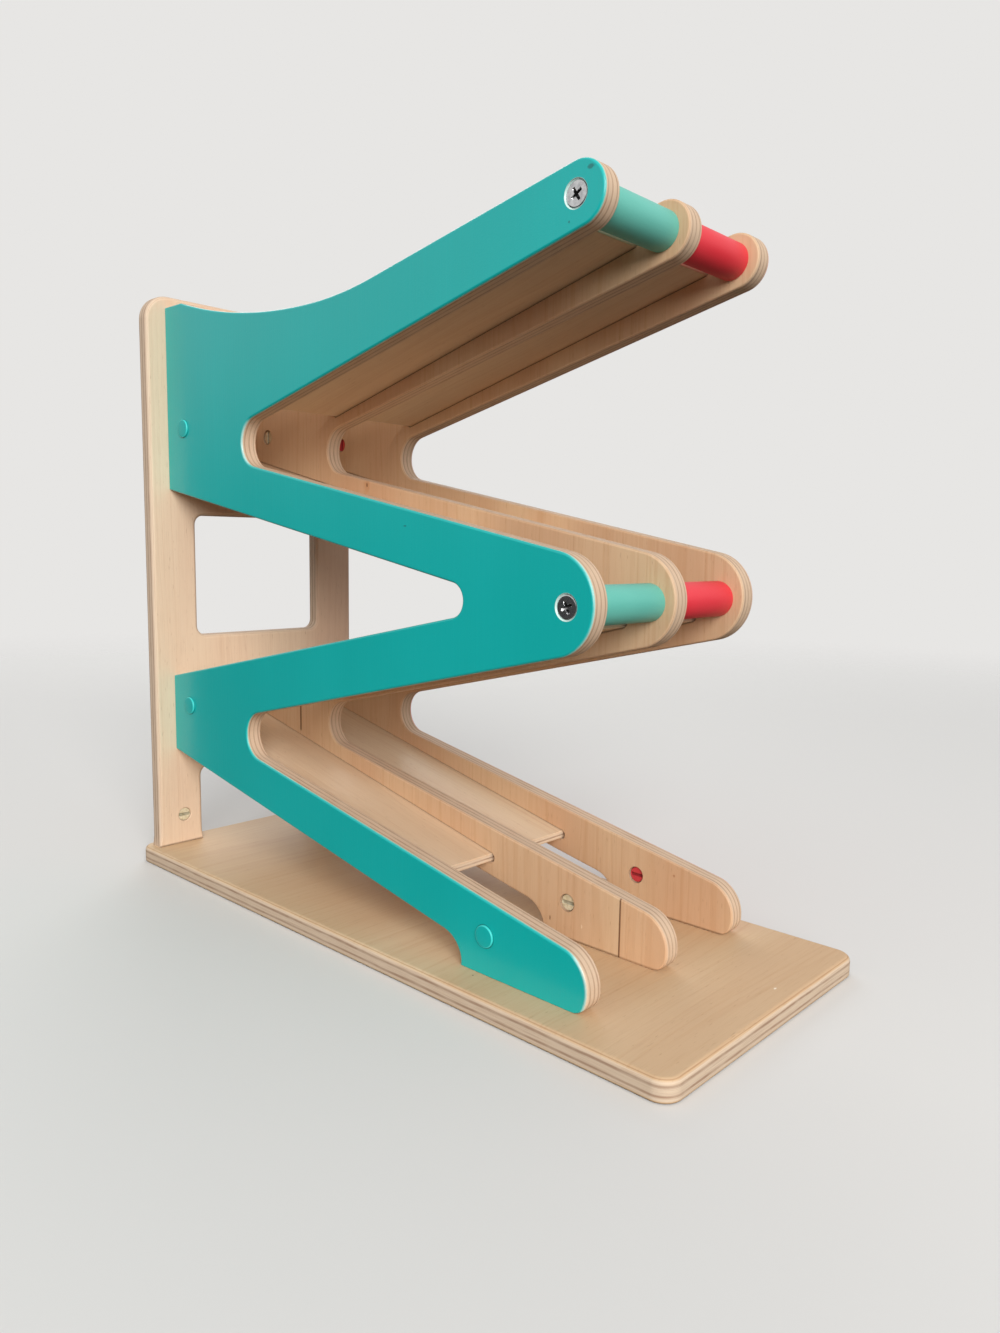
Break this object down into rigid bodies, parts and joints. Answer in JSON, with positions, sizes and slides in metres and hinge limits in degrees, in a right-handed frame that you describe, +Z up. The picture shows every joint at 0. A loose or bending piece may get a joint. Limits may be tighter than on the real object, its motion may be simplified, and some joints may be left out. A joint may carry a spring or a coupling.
{
  "type": "car ramp toy",
  "caption": "Wooden zig-zag car ramp: plywood side panels on a base and back panel hold sloping tracks that send toy cars back and forth down side-by-side lanes.",
  "frame": {"origin": "centre of the base board's underside, on the surface that the ramp stands on", "axes": "+X points to the front, where the cars roll out, +Y to the right seen from the front, +Z up"},
  "size_m": [0.3676, 0.15, 0.3221],
  "materials": {
    "birch_ply": "clear matt lacquer on birch plywood",
    "teal_face_ply": "birch plywood with a satin teal painted outer face and bare edges",
    "coral_face_ply": "birch plywood with a satin coral painted outer face and bare edges",
    "track_ply": "clear matt lacquer on thin birch plywood",
    "mint_paint": "satin mint paint on a wooden dowel",
    "coral_paint": "satin coral paint on a wooden dowel",
    "screw_steel": "zinc plated",
    "bolt_steel": "zinc plated",
    "teal_nut": "satin teal paint",
    "coral_nut": "satin coral paint",
    "plain_nut": "pale brass plated, satin"
  },
  "bodies": {
    "root": {"base_board": "birch_ply", "back_panel": "birch_ply", "left_side_panel": "teal_face_ply", "middle_panel": "birch_ply", "right_side_panel": "coral_face_ply", "left_track_top": "track_ply", "left_track_upper": "track_ply", "left_track_lower": "track_ply", "left_track_bottom": "track_ply", "right_track_top": "track_ply", "right_track_upper": "track_ply", "right_track_lower": "track_ply", "right_track_bottom": "track_ply", "left_top_dowel": "mint_paint", "right_top_dowel": "coral_paint", "left_nose_dowel": "mint_paint", "right_nose_dowel": "coral_paint", "top_dowel_pin": "birch_ply", "nose_dowel_pin": "birch_ply", "left_top_screw": "screw_steel", "right_top_screw": "screw_steel", "left_nose_screw": "screw_steel", "right_nose_screw": "screw_steel", "left_barrel_nuts": "teal_nut", "middle_barrel_nuts": "plain_nut", "right_barrel_nuts": "coral_nut", "leg_barrel_nuts": "plain_nut", "left_back_bolts": "bolt_steel", "middle_back_bolts": "bolt_steel", "right_back_bolts": "bolt_steel", "foot_bolts": "bolt_steel", "leg_bolts": "bolt_steel"}
  },
  "joints": []
}
